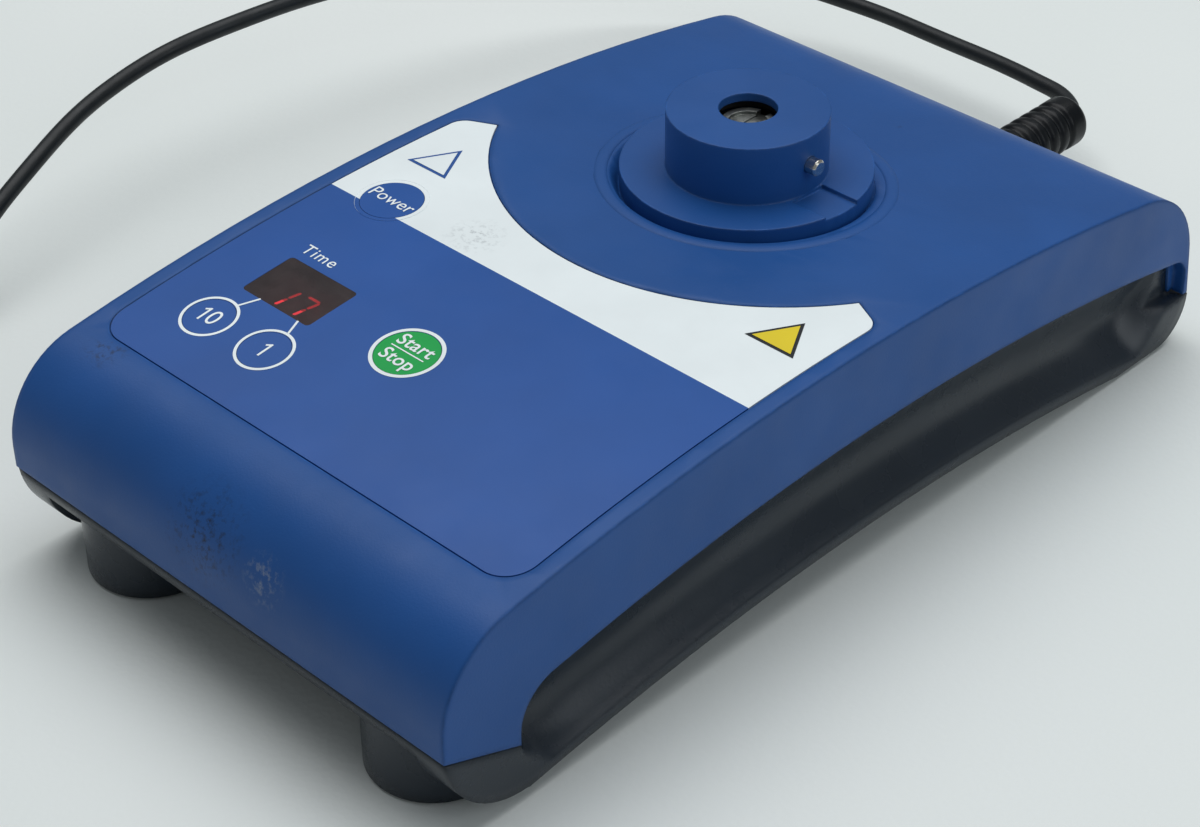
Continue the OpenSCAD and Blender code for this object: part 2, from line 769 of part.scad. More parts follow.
// Panel socket for the lead's plug, open to the rear
module dc_socket() {
    color("black") placed() difference() {
        union() {
            translate([-socket_half_w, socket_face - 14, lead_z - socket_half_h])
                cube([2 * socket_half_w, 12.4, 2 * socket_half_h]);
            along_lead(socket_face - 2) cylinder(r = socket_half_w, h = 2);
        }
        along_lead(socket_face - barrel_l - 1.5) cylinder(r = barrel_r + run_gap, h = 20);
    }
}

module socket_pin() {
    color("silver") placed() along_lead(socket_face - barrel_l - 1.5 + eps)
        cylinder(r = 1.05, h = barrel_l);
}

module plug_barrel() {
    color("silver") placed() along_lead(socket_face - barrel_l) difference() {
        cylinder(r = barrel_r, h = barrel_l + 4);
        translate([0, 0, -1]) cylinder(r = 1.15, h = barrel_l + 1);
    }
}

// Moulded plug body with five ribs and a rounded end
module strain_relief() {
    start = socket_face + 0.1;
    rib_pitch = 3.1;
    waist_r = boot_r - 1;
    color("black") placed() along_lead(start) difference() {
        union() {
            cylinder(r = boot_r, h = 14.5);
            cylinder(r = waist_r, h = boot_end - start);
            for (i = [0:4]) translate([0, 0, 16.3 + i * rib_pitch]) cylinder(r = boot_r, h = 1.3);
            translate([0, 0, boot_end - start - 2.5]) cylinder(r = boot_r, h = 2.5);
            translate([0, 0, boot_end - start - 0.01]) cylinder(r1 = boot_r, r2 = 2.6, h = 2.5);
        }
        translate([0, 0, -1]) cylinder(r = barrel_r + eps, h = 5);
        translate([0, 0, 5]) cylinder(r = cable_r + eps, h = 40);
    }
}

// The cable leaves the strain relief, turns left and loops round to the front as a
// chain of level arcs [radius, angle] and straights [length]
cable_run = [[3], [8, 93], [42], [70, 74], [37], [135, 42], [20]];
joint_l = 0.6;    // length of the thin bands that join the chain's pieces
joint_cut = 0.05; // what each piece stops short of its end, inside a band

module cable_joint() {
    rotate([-90, 0, 0]) translate([0, 0, -joint_l / 2])
        cylinder(r = cable_r + 0.03, h = joint_l, $fn = 32);
}

// Draws the rest of a level run that starts at the origin along +Y and turns left
module cable_path(run, i) {
    if (i < len(run)) {
        if (len(run[i]) == 1) {
            translate([0, joint_cut, 0]) rotate([-90, 0, 0])
                cylinder(r = cable_r, h = run[i][0] - 2 * joint_cut, $fn = 32);
            translate([0, run[i][0], 0]) cable_path(run, i + 1);
        } else {
            cut = joint_cut / run[i][0] * 180 / PI;
            translate([-run[i][0], 0, 0]) {
                rotate(cut) rotate_extrude(angle = run[i][1] - 2 * cut, $fn = 128)
                    translate([run[i][0], 0]) circle(r = cable_r, $fn = 32);
                rotate(run[i][1]) translate([run[i][0], 0, 0]) cable_path(run, i + 1);
            }
        }
        if (i > 0) cable_joint();
    }
}

module power_cable() {
    color("black") placed() {
        along_lead(socket_face + 5.2) cylinder(r = cable_r, h = boot_end - socket_face - 5.2, $fn = 32);
        translate([0, boot_end - joint_cut, lead_z]) cable_path(cable_run, 0);
    }
}

module base_tray() {
    color("darkslategray") placed() difference() {
        union() {
            difference() {
                union() {
                    across(body_w) tray_part(parting_gap) below_cover();
                    at_sides(tray_inner_w / 2, body_w / 2)
                        translate([lip_crown[0], part_rear_z - 1])
                            square([lip_crown[1] - lip_crown[0], 5]);
                    across(tray_inner_w) tray_part(0) housing_outline(wall + parting_gap);
                }
                across(body_w - 2 * skirt_t) tray_underside();
                across(2 * bay_half_w) translate([-1, -5]) square([bay_depth + 1, bay_z + 5]);
            }
            feet_and_bosses();
        }
        difference() {
            across(2 * flank_inner_x) tray_hollow();
            feet_and_bosses();
            translate([-flank_inner_x, 0, 0])
                cube([2 * flank_inner_x, bay_depth + wall, bay_z + wall]);
        }
        for (side = [0, 1]) mirror([side, 0, 0]) flank_scoop();
        for (at = housing_posts) translate([at[0], at[1], 0]) {
            translate([0, 0, -1]) cylinder(r = screw_well_r, h = screw_well_top(at) + 1);
            cylinder(r = screw_r + 0.2, h = 30);
        }
        for (at = feet) translate([at[0], at[1], -1]) cylinder(r = pad_r, h = pad_h + 1);
        lead_hole();
    }
}

// The part of the tray's side outline that lies in a region, a gap below the region's top
module tray_part(gap) {
    intersection() {
        tray_outline(0, upstand_z);
        translate([0, -gap]) children();
    }
}

// What is cut away below the tray's floor, between the side skirts
module tray_underside() {
    intersection() {
        translate(sill_c) circle(r = sill_r + belly_lift, $fn = arch_fn);
        translate([bay_depth, -5]) square([body_d - bay_depth - wall, 30]);
    }
}

module tray_hollow() {
    intersection() {
        tray_outline(belly_lift + wall, upstand_z + 5);
        translate([rim_y, 0]) square([body_d - 2 * rim_y, upstand_z + 6]);
    }
}

// The feet, the bosses of the housing screws and the cradle under the power socket
module feet_and_bosses() {
    for (at = feet) translate([at[0], at[1], foot_low_z])
        cylinder(r = foot_r, h = foot_top_z(at) - foot_low_z);
    for (at = housing_posts) translate([at[0], at[1], sill_z(at[1]) + belly_lift + 0.5])
        cylinder(r = boss_r, h = wall + 2.5);
    translate([-socket_half_w, socket_face - 12, cradle_low_z])
        cube([2 * socket_half_w, cradle_l, lead_z - socket_half_h - cradle_low_z - eps]);
}

module foot_pads() {
    color("black") placed() for (at = feet)
        translate([at[0], at[1], 0]) cylinder(r = pad_r - eps, h = pad_h - eps);
}

module housing_screws() {
    color("silver") placed() for (at = housing_posts)
        translate([at[0], at[1], screw_well_top(at) - eps]) pan_screw(12, 2.8, 1.9);
}

// Blank type plate under the floor
module rating_plate() {
    color("silver") placed() intersection() {
        translate([-25, 80, 0]) cube([50, 28, 20]);
        across(60) difference() {
            translate(sill_c) circle(r = sill_r + belly_lift - eps, $fn = arch_fn);
            translate(sill_c) circle(r = sill_r + belly_lift - 0.3, $fn = arch_fn);
        }
    }
}

top_cover();
base_tray();
control_foil();
display_window();
display_module();
power_key();
tens_key();
units_key();
start_stop_key();
key_switches();
control_board();
board_screws();
processor_chip();
board_capacitors();
motor_driver();
board_connectors();
tube_collar();
collar_screws();
locking_pin();
spindle_seal();
bearing_outer_ring();
bearing_inner_ring();
drive_head();
drive_head_grub_screw();
spindle_shaft();
rotor_core();
commutator();
motor_can();
motor_magnets();
motor_end_bell();
motor_bracket();
motor_screws();
bracket_bushes();
bracket_screws();
motor_wires();
supply_wires();
dc_socket();
socket_pin();
plug_barrel();
strain_relief();
power_cable();
foot_pads();
housing_screws();
rating_plate();
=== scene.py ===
import math

import bmesh
import bpy
from mathutils import Matrix, Vector
from mathutils.bvhtree import BVHTree


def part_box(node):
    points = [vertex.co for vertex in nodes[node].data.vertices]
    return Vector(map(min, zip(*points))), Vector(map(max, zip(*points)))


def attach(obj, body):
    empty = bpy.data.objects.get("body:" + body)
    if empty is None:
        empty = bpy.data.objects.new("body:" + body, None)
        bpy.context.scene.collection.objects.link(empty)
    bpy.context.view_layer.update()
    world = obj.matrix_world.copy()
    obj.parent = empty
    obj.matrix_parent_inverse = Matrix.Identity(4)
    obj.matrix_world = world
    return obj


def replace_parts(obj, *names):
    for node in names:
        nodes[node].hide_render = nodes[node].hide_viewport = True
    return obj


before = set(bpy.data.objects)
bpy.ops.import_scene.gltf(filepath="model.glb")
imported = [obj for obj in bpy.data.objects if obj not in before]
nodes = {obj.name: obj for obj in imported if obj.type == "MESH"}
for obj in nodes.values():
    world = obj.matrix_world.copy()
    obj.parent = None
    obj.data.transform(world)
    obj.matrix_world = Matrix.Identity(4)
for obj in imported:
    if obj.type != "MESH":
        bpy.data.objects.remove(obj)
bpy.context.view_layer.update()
MM = 0.001

# ---------------------------------------------------------------- places taken from the CAD
collar_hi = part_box("tube_collar")[1]
cover_lo, cover_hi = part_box("top_cover")
foil_lo, foil_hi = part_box("control_foil")
window_lo, window_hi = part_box("display_window")
boot_lo, boot_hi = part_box("strain_relief")
cable_lo, cable_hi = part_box("power_cable")
BENCH_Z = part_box("foot_pads")[0][2]


def centre(node):
    lo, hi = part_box(node)
    return [(a + b) / 2 for a, b in zip(lo, hi)]


def surface_tree(names):
    """The faces of the named CAD nodes, ready for rays to be cast at them."""
    verts, faces = [], []
    for n in names:
        mesh = nodes[n].data
        base = len(verts)
        verts += [v.co.copy() for v in mesh.vertices]
        faces += [[base + i for i in p.vertices] for p in mesh.polygons]
    return BVHTree.FromPolygons(verts, faces)


FRONT_SKIN = surface_tree(["top_cover", "control_foil", "display_window", "power_key", "tens_key",
                           "units_key", "start_stop_key"])
ABOVE_ALL = 100 * MM


def top_z(x, y):
    """Height of the housing's top skin at a point, or 0 beside it."""
    hit = FRONT_SKIN.ray_cast(Vector((x, y, ABOVE_ALL)), Vector((0, 0, -1)))
    return hit[0].z if hit[0] else 0.0


# ---------------------------------------------------------------- material helpers
class Shader:
    """A node tree with a Principled surface and short ways to add to it."""

    def __init__(self, name):
        self.mat = bpy.data.materials.new(name)
        self.mat.use_nodes = True
        self.tree = self.mat.node_tree
        self.bsdf = self.tree.nodes["Principled BSDF"]
        self.coord = self.node("ShaderNodeTexCoord").outputs["Object"]

    def node(self, kind, **props):
        n = self.tree.nodes.new(kind)
        for k, v in props.items():
            setattr(n, k, v)
        return n

    def link(self, out, into):
        self.tree.links.new(out, into)

    def noise(self, scale, detail=3.0, rough=0.5, stretch=None):
        n = self.node("ShaderNodeTexNoise")
        n.inputs["Scale"].default_value = scale
        n.inputs["Detail"].default_value = detail
        n.inputs["Roughness"].default_value = rough
        src = self.coord
        if stretch:
            m = self.node("ShaderNodeMapping")
            m.inputs["Scale"].default_value = stretch
            self.link(src, m.inputs["Vector"])
            src = m.outputs["Vector"]
        self.link(src, n.inputs["Vector"])
        return n.outputs["Fac"]

    def ramp(self, value, low, high, out_low=0.0, out_high=1.0):
        n = self.node("ShaderNodeMapRange")
        for k, v in (("From Min", low), ("From Max", high), ("To Min", out_low), ("To Max", out_high)):
            n.inputs[k].default_value = v
        self.link(value, n.inputs["Value"])
        return n.outputs["Result"]

    def math(self, op, a, b):
        n = self.node("ShaderNodeMath", operation=op)
        for i, v in enumerate((a, b)):
            if isinstance(v, (int, float)):
                n.inputs[i].default_value = v
            else:
                self.link(v, n.inputs[i])
        return n.outputs[0]

    def mix(self, fac, a, b):
        n = self.node("ShaderNodeMix", data_type="RGBA")
        for sock, v in ((n.inputs[0], fac), (n.inputs[6], a), (n.inputs[7], b)):
            if isinstance(v, (int, float)):
                sock.default_value = v
            elif isinstance(v, (tuple, list)):
                sock.default_value = (*v, 1.0)
            else:
                self.link(v, sock)
        return n.outputs[2]

    def edge(self, radius):
        """1 along sharp edges, 0 on open faces."""
        bevel = self.node("ShaderNodeBevel", samples=4)
        bevel.inputs["Radius"].default_value = radius
        geo = self.node("ShaderNodeNewGeometry")
        dot = self.node("ShaderNodeVectorMath", operation="DOT_PRODUCT")
        self.link(bevel.outputs["Normal"], dot.inputs[0])
        self.link(geo.outputs["Normal"], dot.inputs[1])
        return self.ramp(dot.outputs["Value"], 0.995, 0.86)

    def spot(self, at, radius):
        """A soft blob about a point, broken up by noise."""
        d = self.node("ShaderNodeVectorMath", operation="DISTANCE")
        self.link(self.coord, d.inputs[0])
        d.inputs[1].default_value = at
        near = self.ramp(d.outputs["Value"], radius, radius * 0.2)
        return self.math("MULTIPLY", near, self.ramp(self.noise(900, 5, 0.65), 0.5, 0.68))

    def axis(self, which):
        s = self.node("ShaderNodeSeparateXYZ")
        self.link(self.coord, s.inputs[0])
        return s.outputs[which]

    def bump(self, height, strength, distance=0.0002, soft=None):
        n = self.node("ShaderNodeBump")
        n.inputs["Strength"].default_value = strength
        n.inputs["Distance"].default_value = distance
        self.link(height, n.inputs["Height"])
        if soft:
            bevel = self.node("ShaderNodeBevel", samples=6)
            bevel.inputs["Radius"].default_value = soft
            self.link(bevel.outputs["Normal"], n.inputs["Normal"])
        self.link(n.outputs["Normal"], self.bsdf.inputs["Normal"])

    def surface(self, colour, rough, metal=0.0, spec=0.5):
        if isinstance(colour, (tuple, list)):
            self.bsdf.inputs["Base Color"].default_value = (*colour, 1)
        else:
            self.link(colour, self.bsdf.inputs["Base Color"])
        if isinstance(rough, (int, float)):
            self.bsdf.inputs["Roughness"].default_value = rough
        else:
            self.link(rough, self.bsdf.inputs["Roughness"])
        self.bsdf.inputs["Metallic"].default_value = metal
        self.bsdf.inputs["Specular IOR Level"].default_value = spec


def shade(colour, k):
    """The colour made k times as bright."""
    return tuple(min(1.0, c * k) for c in colour)


def plastic(name, colour, rough=0.45, grain=2600, depth=0.12, edge_wear_and_highlight=0.35, soft=None, spec=0.32, spots=()):
    """Moulded plastic: cloudy tone, pale specks, edges lightened partly by rubbed wear and partly as painted
    highlight, spots of dirt and a fine grain.
    """
    s = Shader(name)
    tone = s.mix(s.ramp(s.noise(38, 4), 0.35, 0.7), shade(colour, 0.93), shade(colour, 1.06))
    speck = s.ramp(s.noise(1500, 2), 0.70, 0.76)
    tone = s.mix(s.math("MULTIPLY", speck, 0.15), tone, shade(colour, 1.8))
    if edge_wear_and_highlight:
        # Edges lightened in noisy patches: partly rubbed wear, partly a painted highlight along the edges
        edge_wear_and_highlight_mask = s.math("MULTIPLY", s.edge(0.0006), s.ramp(s.noise(260, 5, 0.7), 0.46, 0.66))
        tone = s.mix(s.math("MULTIPLY", edge_wear_and_highlight_mask, edge_wear_and_highlight), tone, shade(colour, 2.4))
    for at, radius, spot_colour, amount in spots:
        tone = s.mix(s.math("MULTIPLY", s.spot(at, radius), amount), tone, spot_colour)
    r = s.ramp(s.noise(120, 5), 0.3, 0.7, rough - 0.05, rough + 0.07)
    s.surface(tone, r, spec=spec)
    s.bump(s.noise(grain, 2), depth, soft=soft)
    return s.mat


def metal(name, colour, rough=0.28, stretch=(1, 1, 14), worn=0.3):
    """Drawn or turned metal: fine lines, with dull worn patches."""
    s = Shader(name)
    lines = s.noise(420, 4, 0.6, stretch)
    tone = s.mix(s.ramp(lines, 0.3, 0.7), shade(colour, 0.82), shade(colour, 1.1))
    tone = s.mix(s.math("MULTIPLY", s.ramp(s.noise(700, 5, 0.7), 0.55, 0.7), worn), tone, shade(colour, 0.4))
    s.surface(tone, s.ramp(lines, 0.3, 0.7, rough - 0.07, rough + 0.1), metal=1.0)
    s.bump(lines, 0.08, soft=0.0002)
    return s.mat


def rubber(name, colour, rough=0.6, spec=0.35):
    """Rubber or soft plastic: greyer patches over a fine grain."""
    s = Shader(name)
    tone = s.mix(s.ramp(s.noise(90, 5), 0.4, 0.7), colour, shade(colour, 1.9))
    s.surface(tone, s.ramp(s.noise(200, 4), 0.3, 0.7, rough - 0.08, rough + 0.08), spec=spec)
    s.bump(s.noise(1800, 3), 0.15, soft=0.0004)
    return s.mat


def board_green():
    """Circuit board with a plain pattern of paler tracks."""
    s = Shader("board_green")
    trace = s.node("ShaderNodeTexBrick")
    trace.inputs["Scale"].default_value = 260
    s.link(s.coord, trace.inputs["Vector"])
    tone = s.mix(s.ramp(trace.outputs["Fac"], 0, 1), (0.012, 0.11, 0.035), (0.05, 0.22, 0.07))
    s.surface(tone, 0.32)
    s.bump(trace.outputs["Fac"], 0.1)
    return s.mat


# ---------------------------------------------------------------- colours
BLUE = (0.013, 0.080, 0.285)
FOIL_BLUE = (0.018, 0.089, 0.335)
WHITE = (0.86, 0.92, 0.93)
GREEN = (0.003, 0.37, 0.070)
GREY = (0.015, 0.023, 0.034)
BLACK = (0.0038, 0.0058, 0.0072)
BOOT_BLACK = (0.0008, 0.0018, 0.0030)
GRIME = (0.010, 0.014, 0.025)
SCUFF = (0.22, 0.26, 0.33)

nose_y = cover_lo[1]
# Front edge of the foil's white band
band_y = centre("power_key")[1] - 3.3 * MM


def on_top(across_part, y):
    """A point on the housing's skin: across_part is -1 at its left edge and 1 at its right."""
    x = centre("top_cover")[0] + across_part * (cover_hi[0] - cover_lo[0]) / 2
    return x, y, top_z(x, y)


blue_plastic = plastic("cover_blue", BLUE, 0.42, soft=0.0013, spec=0.28, spots=[
    (on_top(-0.06, nose_y + 1.5 * MM), 0.010, GRIME, 0.85),
    (on_top(0.22, nose_y + 1.2 * MM), 0.005, SCUFF, 0.8),
    (on_top(-0.82, nose_y + 14 * MM), 0.005, GRIME, 0.7),
    (on_top(0.08, collar_hi[1] + 16 * MM), 0.002, GRIME, 0.6)])
collar_blue = plastic("collar_blue", BLUE, 0.40, soft=0.0005, edge_wear_and_highlight=0.55)
tray_grey = plastic("tray_grey", GREY, 0.27, grain=1800, depth=0.08, edge_wear_and_highlight=0.3, soft=0.003, spec=0.42)
lead_black = rubber("lead_black", BLACK, 0.45)
boot_black = rubber("boot_black", BOOT_BLACK, 0.34, 0.24)


def foil_material():
    """Printed foil: blue in front of band_y, white with a grey smudge behind it."""
    s = Shader("foil_print")
    blue = s.mix(s.ramp(s.noise(45, 4), 0.35, 0.7), shade(FOIL_BLUE, 0.94), shade(FOIL_BLUE, 1.06))
    white = s.mix(s.ramp(s.noise(60, 4), 0.4, 0.75), WHITE, shade(WHITE, 0.93))
    smudge = s.spot(on_top(-0.34, band_y + 5 * MM), 0.006)
    white = s.mix(s.math("MULTIPLY", smudge, 0.6), white, (0.30, 0.32, 0.34))
    tone = s.mix(s.math("GREATER_THAN", s.axis(1), band_y), blue, white)
    s.surface(tone, s.ramp(s.noise(150, 5), 0.3, 0.7, 0.33, 0.42), spec=0.25)
    s.bump(s.noise(2400, 2), 0.06)
    return s.mat


def window_material():
    """Dark red tinted window: part clear, part glossy."""
    s = Shader("window_red")
    tint = s.mix(s.ramp(s.noise(300, 4), 0.4, 0.7), (0.072, 0.058, 0.060), (0.092, 0.072, 0.074))
    s.surface(tint, s.ramp(s.noise(500, 4), 0.3, 0.7, 0.16, 0.24))
    s.bump(s.noise(1500, 2), 0.03)
    clear = s.node("ShaderNodeBsdfTransparent")
    clear.inputs["Color"].default_value = (0.80, 0.34, 0.34, 1)
    blend = s.node("ShaderNodeMixShader")
    blend.inputs[0].default_value = 0.5
    s.link(clear.outputs[0], blend.inputs[1])
    s.link(s.bsdf.outputs[0], blend.inputs[2])
    s.link(blend.outputs[0], s.tree.nodes["Material Output"].inputs["Surface"])
    return s.mat


def glow(name, colour, strength):
    """A surface that gives off a slightly uneven light."""
    s = Shader(name)
    tone = s.mix(s.ramp(s.noise(800, 3), 0.3, 0.7), colour, shade(colour, 0.8))
    s.surface(tone, 0.4)
    s.link(tone, s.bsdf.inputs["Emission Color"])
    s.bsdf.inputs["Emission Strength"].default_value = strength
    return s.mat


ink_white = plastic("ink_white", WHITE, 0.4, edge_wear_and_highlight=0, depth=0.03)
ink_yellow = plastic("ink_yellow", (0.80, 0.62, 0.02), 0.4, edge_wear_and_highlight=0, depth=0.03)
ink_dark = plastic("ink_dark", (0.012, 0.014, 0.018), 0.4, edge_wear_and_highlight=0, depth=0.03)
ink_blue = plastic("ink_blue", FOIL_BLUE, 0.38, edge_wear_and_highlight=0, depth=0.03)
key_blue = plastic("key_blue", FOIL_BLUE, 0.37, edge_wear_and_highlight=0, depth=0.06, spec=0.25)
key_green = plastic("key_green", GREEN, 0.36, edge_wear_and_highlight=0, depth=0.06, spec=0.25)

# ---------------------------------------------------------------- carried CAD nodes
black_part = plastic("black_part", (0.014, 0.014, 0.015), 0.42, edge_wear_and_highlight=0.1)
ivory = plastic("ivory_nylon", (0.62, 0.58, 0.46), 0.42, edge_wear_and_highlight=0.1)
zinc = metal("zinc_screws", (0.62, 0.62, 0.58), 0.3)
ground = metal("ground_steel", (0.74, 0.70, 0.62), 0.16, worn=0.1)
head = metal("worn_head", (0.30, 0.31, 0.29), 0.36, (1, 1, 1), 0.8)
sheet = metal("drawn_steel", (0.56, 0.56, 0.55), 0.34)
copper = metal("copper", (0.72, 0.36, 0.16), 0.28)
lamination = metal("lamination", (0.30, 0.20, 0.14), 0.45, (1, 1, 30), 0.5)
ferrite = plastic("ferrite", (0.03, 0.03, 0.032), 0.6, edge_wear_and_highlight=0.2)
can_alu = metal("capacitor_can", (0.55, 0.57, 0.6), 0.3)
plate = metal("blank_plate", (0.6, 0.61, 0.62), 0.35, (20, 1, 1), 0.1)
wire_red = plastic("wire_red", (0.35, 0.02, 0.02), 0.45, edge_wear_and_highlight=0)
seal = rubber("seal_rubber", (0.010, 0.010, 0.010))

CARRIED = {
    "control_foil": foil_material(), "display_window": window_material(), "display_module": black_part,
    "power_key": key_blue, "tens_key": key_blue, "units_key": key_blue, "start_stop_key": key_green,
    "key_switches": black_part, "control_board": board_green(), "board_screws": zinc,
    "processor_chip": black_part, "board_capacitors": can_alu, "motor_driver": black_part,
    "board_connectors": ivory, "collar_screws": zinc, "locking_pin": ground, "spindle_seal": seal,
    "bearing_outer_ring": ground, "bearing_inner_ring": ground, "drive_head": head,
    "drive_head_grub_screw": zinc, "spindle_shaft": ground, "rotor_core": lamination,
    "commutator": copper, "motor_can": sheet, "motor_magnets": ferrite, "motor_end_bell": ivory,
    "motor_bracket": sheet, "motor_screws": zinc, "bracket_bushes": seal, "bracket_screws": zinc,
    "motor_wires": wire_red, "supply_wires": wire_red, "dc_socket": black_part, "socket_pin": ground,
    "plug_barrel": ground, "foot_pads": seal, "housing_screws": zinc, "rating_plate": plate}
for name, mat in CARRIED.items():
    slots = nodes[name].data.materials
    if len(slots):
        for i in range(len(slots)):
            nodes[name].material_slots[i].material = mat
    else:
        slots.append(mat)


# ---------------------------------------------------------------- mesh helpers
def new_object(name, mesh, mat, body, smooth=35):
    """An object on a body, in one material, shaded smooth except along edges sharper than smooth degrees."""
    obj = bpy.data.objects.new(name, mesh)
    bpy.context.scene.collection.objects.link(obj)
    mesh.materials.clear()
    mesh.materials.append(mat)
    for p in mesh.polygons:
        p.use_smooth = True
    mesh.set_sharp_from_angle(angle=math.radians(smooth))
    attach(obj, body)
    return obj


SAME_POINT, FLAT_ANGLE = 1e-6, math.radians(0.4)


def rounded_copy(node, name, mat, body, width, angle=38, segments=3, shape=None, cut=None):
    """The node's shape with its sharp edges rounded off. First shape() moves points and cut() cuts away."""
    bm = bmesh.new()
    bm.from_mesh(nodes[node].data)
    bmesh.ops.remove_doubles(bm, verts=bm.verts, dist=SAME_POINT)
    bmesh.ops.dissolve_limit(bm, angle_limit=FLAT_ANGLE, verts=bm.verts, edges=bm.edges)
    if shape:
        shape(bm)
    mesh = bpy.data.meshes.new(name)
    bm.to_mesh(mesh)
    bm.free()
    if cut:
        mesh = cut(mesh)
    obj = new_object(name, mesh, mat, body)
    bevel = obj.modifiers.new("edges", "BEVEL")
    bevel.width = width
    bevel.segments = segments
    bevel.limit_method = "ANGLE"
    bevel.angle_limit = math.radians(angle)
    bevel.use_clamp_overlap = True
    bevel.harden_normals = True
    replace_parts(obj, node)
    return obj


def lathe(name, profile, mat, body, at, steps=96):
    """A solid of revolution about a line along Y, from (radius, y) points."""
    bm = bmesh.new()
    rows = []
    for r, along in profile:
        row = []
        for i in range(steps):
            a = 2 * math.pi * i / steps
            row.append(bm.verts.new(Vector((r * math.cos(a), along, r * math.sin(a))) + Vector(at)))
        rows.append(row)
    for a, b in zip(rows, rows[1:]):
        for i in range(steps):
            j = (i + 1) % steps
            bm.faces.new((a[i], a[j], b[j], b[i]))
    bmesh.ops.recalc_face_normals(bm, faces=bm.faces)
    mesh = bpy.data.meshes.new(name)
    bm.to_mesh(mesh)
    bm.free()
    return new_object(name, mesh, mat, body, 50)


# ---------------------------------------------------------------- print laid on the foil and keys
LIFT = 0.05 * MM
FONT_SIZE = 1.38    # of the height of a capital
BOLD = 0.05 * MM


def lay(name, points, faces, mat, body, lift=LIFT):
    """A thin print over (x, y) points, following the skin at a small height above it."""
    verts = [(x, y, top_z(x, y) + lift) for x, y in points]
    mesh = bpy.data.meshes.new(name)
    mesh.from_pydata(verts, [], faces)
    return new_object(name, mesh, mat, body)


def ring(name, at, outer, inner, mat, body, steps=72):
    pts, faces = [], []
    for i in range(steps):
        a = 2 * math.pi * i / steps
        for r in (inner, outer):
            pts.append((at[0] + r * math.cos(a), at[1] + r * math.sin(a)))
    for i in range(steps):
        j = (i + 1) % steps
        faces.append((2 * i, 2 * i + 1, 2 * j + 1, 2 * j))
    return lay(name, pts, faces, mat, body)


def stroke(name, a, b, width, mat, body, lift=LIFT):
    """A straight line between two points."""
    d = Vector(b) - Vector(a)
    n = Vector((-d.y, d.x)).normalized() * width / 2
    steps = 8
    pts = []
    for i in range(steps + 1):
        p = Vector(a) + d * i / steps
        pts += [tuple(p + n), tuple(p - n)]
    faces = [(2 * i, 2 * i + 1, 2 * i + 3, 2 * i + 2) for i in range(steps)]
    return lay(name, pts, faces, mat, body, lift)


def words(name, text, at, height, mat, body, spread=1.0, weight=0.0):
    """Generic lettering, centred on a point and laid on the surface."""
    font = bpy.data.curves.new(name + "_font", "FONT")
    font.body = text
    font.size = height * FONT_SIZE
    font.space_character = spread
    font.offset = weight
    font.align_x = "CENTER"
    font.align_y = "CENTER"
    tmp = bpy.data.objects.new(name + "_tmp", font)
    bpy.context.scene.collection.objects.link(tmp)
    bpy.context.view_layer.update()
    flat = bpy.data.meshes.new_from_object(tmp.evaluated_get(bpy.context.evaluated_depsgraph_get()))
    points = [(v.co.x + at[0], v.co.y + at[1]) for v in flat.vertices]
    faces = [tuple(p.vertices) for p in flat.polygons]
    bpy.data.objects.remove(tmp)
    bpy.data.curves.remove(font)
    return lay(name, points, faces, mat, body, LIFT * 1.3)


power, tens, units, start = (centre(n) for n in ("power_key", "tens_key", "units_key", "start_stop_key"))


def key_radius(node):
    lo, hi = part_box(node)
    return (hi[0] - lo[0]) / 2


for name, at, node, outside, gap in (
        ("power_ring", power, "power_key", 0.9, 0.02), ("tens_ring", tens, "tens_key", 0.62, 0.1),
        ("units_ring", units, "units_key", 0.62, 0.1), ("start_ring", start, "start_stop_key", 0.75, 0.1)):
    ring(name, at, key_radius(node) + outside * MM, key_radius(node) + gap * MM, ink_white, "housing")
words("power_word", "Power", power, 2.75 * MM, ink_white, "power_button")


def one(name, at, body):
    """A numeral one with its flag."""
    height, stem, flag = 3.2 * MM, 0.42 * MM, 0.36 * MM
    top = at[1] + 1.6 * MM
    stroke(name + "_stem", (at[0], top - height), (at[0], top), stem, ink_white, body)
    stroke(name + "_flag", (at[0] + 0.1 * MM, top - 0.1 * MM), (at[0] - 0.85 * MM, top - 0.75 * MM), flag,
           ink_white, body, LIFT * 1.2)


one("tens_one", (tens[0] - 1.1 * MM, tens[1]), "tens_button")
words("tens_zero", "0", (tens[0] + 0.95 * MM, tens[1]), 3.4 * MM, ink_white, "tens_button")
one("units_one", (units[0] + 0.2 * MM, units[1]), "units_button")
for name, text, y in (("start_word", "Start", 1.9 * MM), ("stop_word", "Stop", -2.1 * MM)):
    words(name, text, (start[0], start[1] + y), 2.65 * MM, ink_white, "start_stop_button", 1.05, BOLD)
stroke("start_line", (start[0] - 3.6 * MM, start[1]), (start[0] + 3.6 * MM, start[1]), 0.25 * MM,
       ink_white, "start_stop_button")
window_at = centre("display_window")
words("time_word", "Time", (window_at[0] - 4.4 * MM, window_hi[1] + 2.6 * MM), 2.5 * MM, ink_white,
      "housing", 1.12)
stroke("tens_lead", (tens[0] + 1.6 * MM, tens[1] + 4.6 * MM), (tens[0] + 3.2 * MM, window_lo[1]), 0.4 * MM,
       ink_white, "housing")
stroke("units_lead", (units[0], units[1] + 4.8 * MM), (units[0] - 1.2 * MM, window_lo[1]), 0.4 * MM,
       ink_white, "housing")


def triangle(name, x, foot_y, width, height, mat, inner_mat):
    """A plain bordered triangle with no picture in it."""
    corners = [(x - width / 2, foot_y), (x + width / 2, foot_y), (x, foot_y + height)]
    c = Vector((x, foot_y + height / 3))
    inner = 0.80    # of the outer size
    for part, k, m, lift in (("border", 1.0, mat, LIFT), ("field", inner, inner_mat, 2 * LIFT)):
        pts = [tuple(c + (Vector(p) - c) * k) for p in corners]
        lay(name + "_" + part, pts, [(0, 1, 2)], m, "housing", lift)


